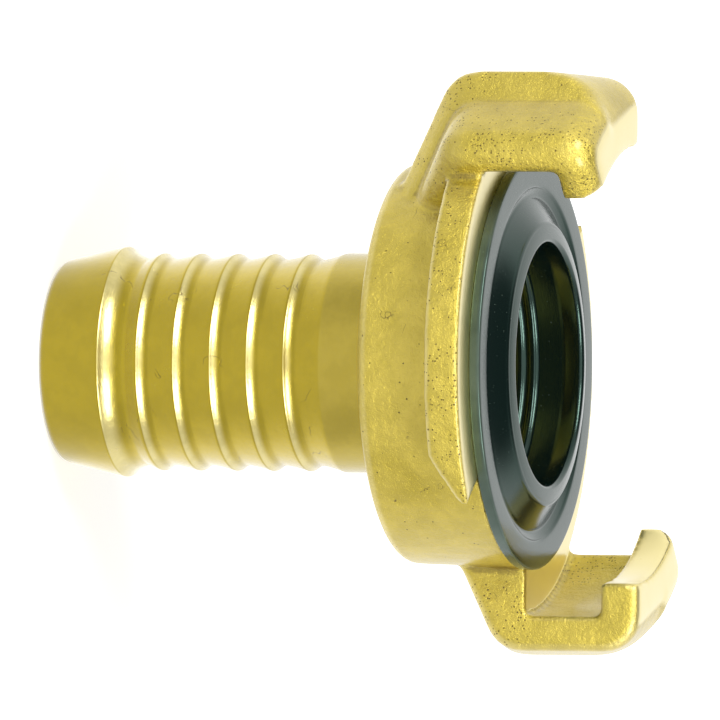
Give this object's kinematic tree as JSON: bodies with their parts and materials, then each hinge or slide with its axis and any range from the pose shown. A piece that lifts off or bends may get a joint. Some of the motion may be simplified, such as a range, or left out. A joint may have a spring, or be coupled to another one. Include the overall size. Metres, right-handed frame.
{
  "type": "quarter turn hose coupling",
  "caption": "Brass claw coupling half with a ribbed hose tail and a rubber face seal; its hooked claws lock to a matching half with a quarter turn.",
  "frame": {"origin": "centre of the hose tail's end, on the coupling's axis", "axes": "+Z along the axis from the hose tail to the claws; +X through the plain end of one claw"},
  "size_m": [0.0536, 0.0456, 0.0548],
  "materials": {
    "brass": "satin, forged and blasted",
    "seal_rubber": "smooth moulded, slightly glossy"
  },
  "bodies": {
    "root": {"claw_body": "brass", "seal_ring": "seal_rubber"}
  },
  "joints": []
}
